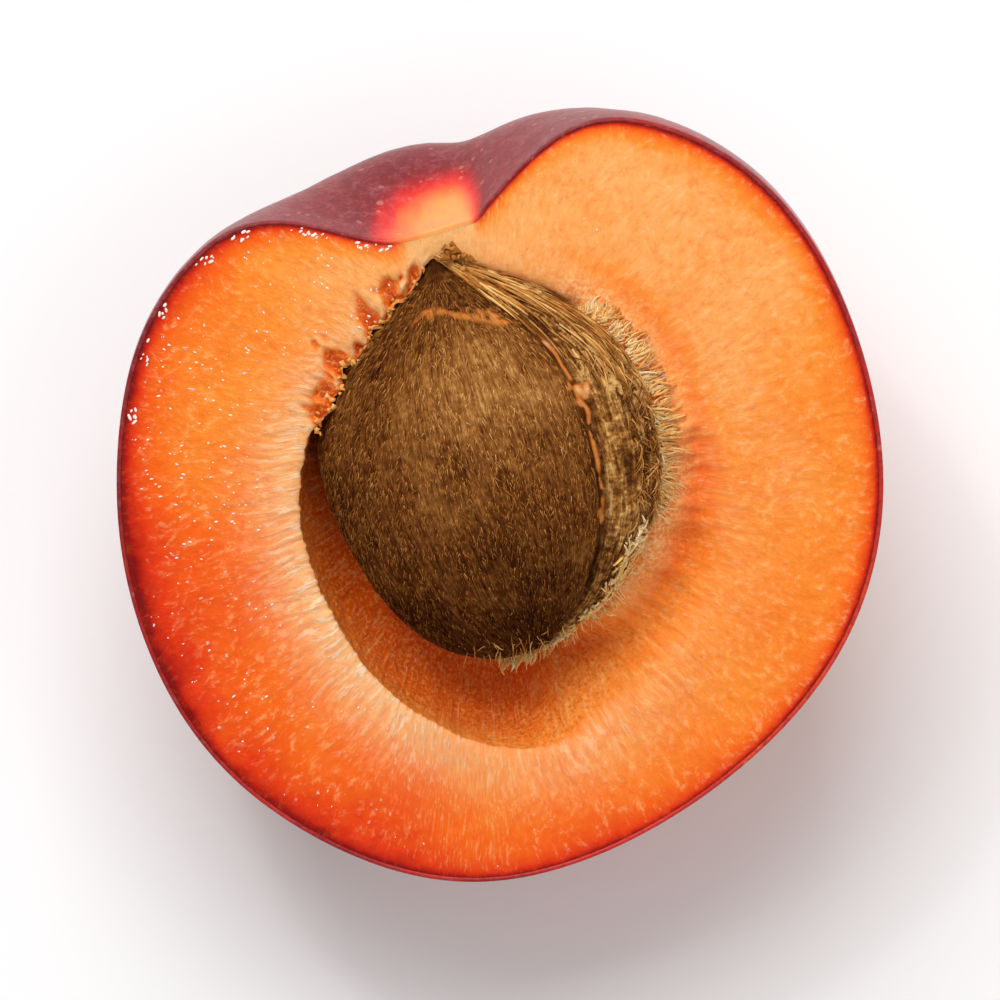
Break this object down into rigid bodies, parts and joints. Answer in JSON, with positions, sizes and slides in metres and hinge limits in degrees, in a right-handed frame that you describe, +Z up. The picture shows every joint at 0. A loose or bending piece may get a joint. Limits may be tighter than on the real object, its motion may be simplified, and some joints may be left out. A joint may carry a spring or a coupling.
{
  "type": "apricot half",
  "caption": "Halved apricot lying on its round back, cut face up, with the ridged brown stone still in its hollow.",
  "frame": {"origin": "middle of the small flat spot that the fruit rests on", "axes": "+Z up, +Y towards the stem end, +X across the cut face to the side of the higher lobe; the cut face leans 12 degrees towards -Y"},
  "size_m": [0.05, 0.0507, 0.0306],
  "materials": {
    "flesh": "wet orange flesh with radial fibres, redder towards the skin",
    "stone": "dry brown grainy shell with a straw-coloured ridged keel",
    "skin": "thin downy skin, orange to crimson with a purple bloom",
    "fibres": "torn pale flesh fibres round the stone"
  },
  "bodies": {
    "root": {"fruit_half": "flesh", "stone": "stone"}
  },
  "joints": []
}
